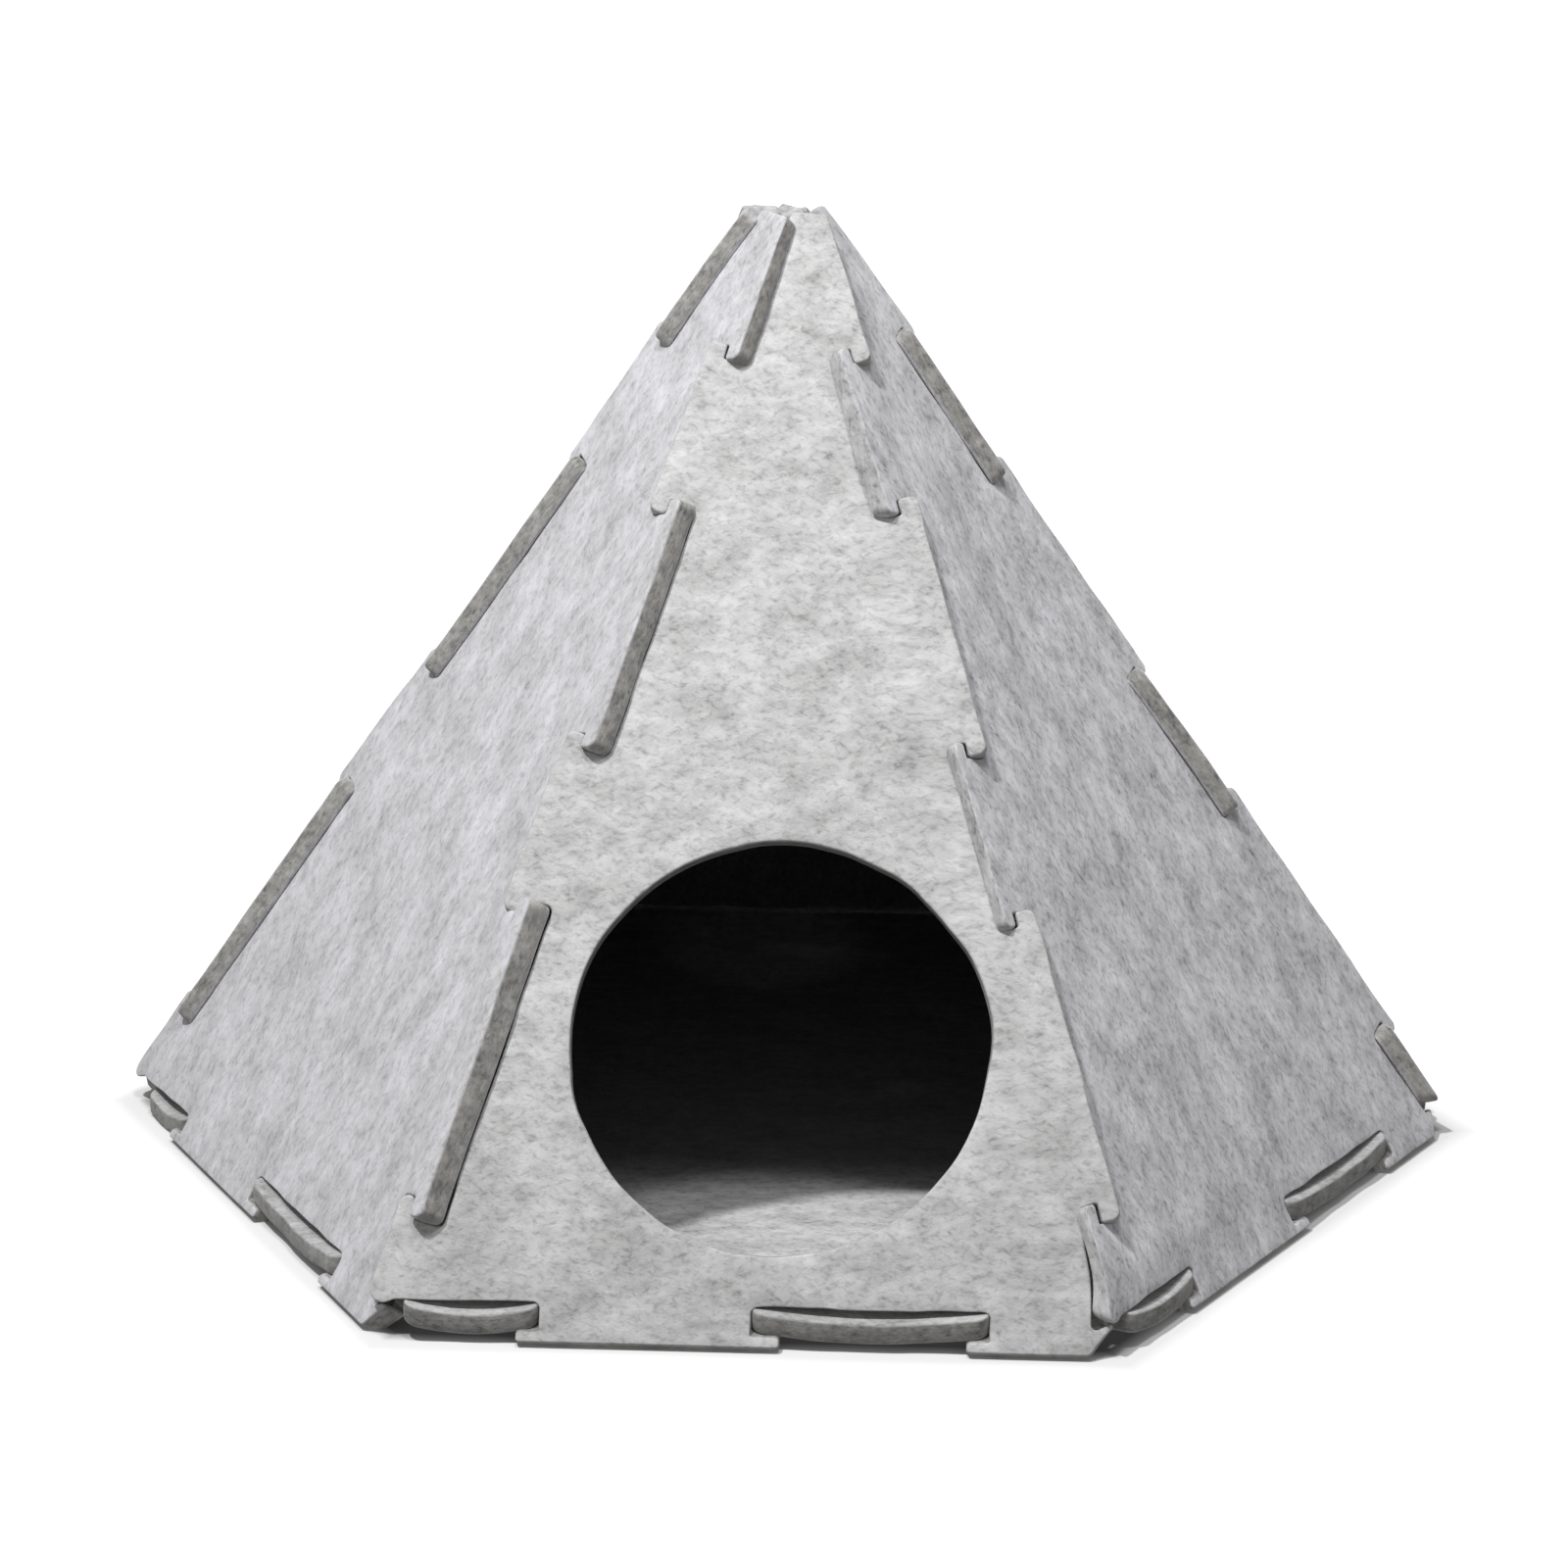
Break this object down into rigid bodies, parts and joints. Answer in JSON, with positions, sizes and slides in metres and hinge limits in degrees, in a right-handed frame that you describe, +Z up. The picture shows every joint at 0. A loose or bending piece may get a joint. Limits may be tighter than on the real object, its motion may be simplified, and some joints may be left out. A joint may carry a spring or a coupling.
{
  "type": "cat tent",
  "caption": "Hexagonal pyramid cat tent of thick grey felt panels that hook together, with a round entrance in the front panel and a felt base.",
  "frame": {"origin": "on the floor under the missing tip, at the middle of the base", "axes": "+Z up, -Y towards the viewer through the entrance, +X to the viewer's right, from corner to corner"},
  "size_m": [0.6168, 0.5424, 0.4276],
  "materials": {
    "felt_front": "matt mottled grey needle felt",
    "felt_side": "matt mottled grey needle felt",
    "felt_base": "matt mottled grey needle felt"
  },
  "bodies": {
    "root": {"panel_front": "felt_front", "panel_front_right": "felt_side", "panel_back_right": "felt_side", "panel_back": "felt_side", "panel_back_left": "felt_side", "panel_front_left": "felt_side", "base_panel": "felt_base"}
  },
  "joints": []
}
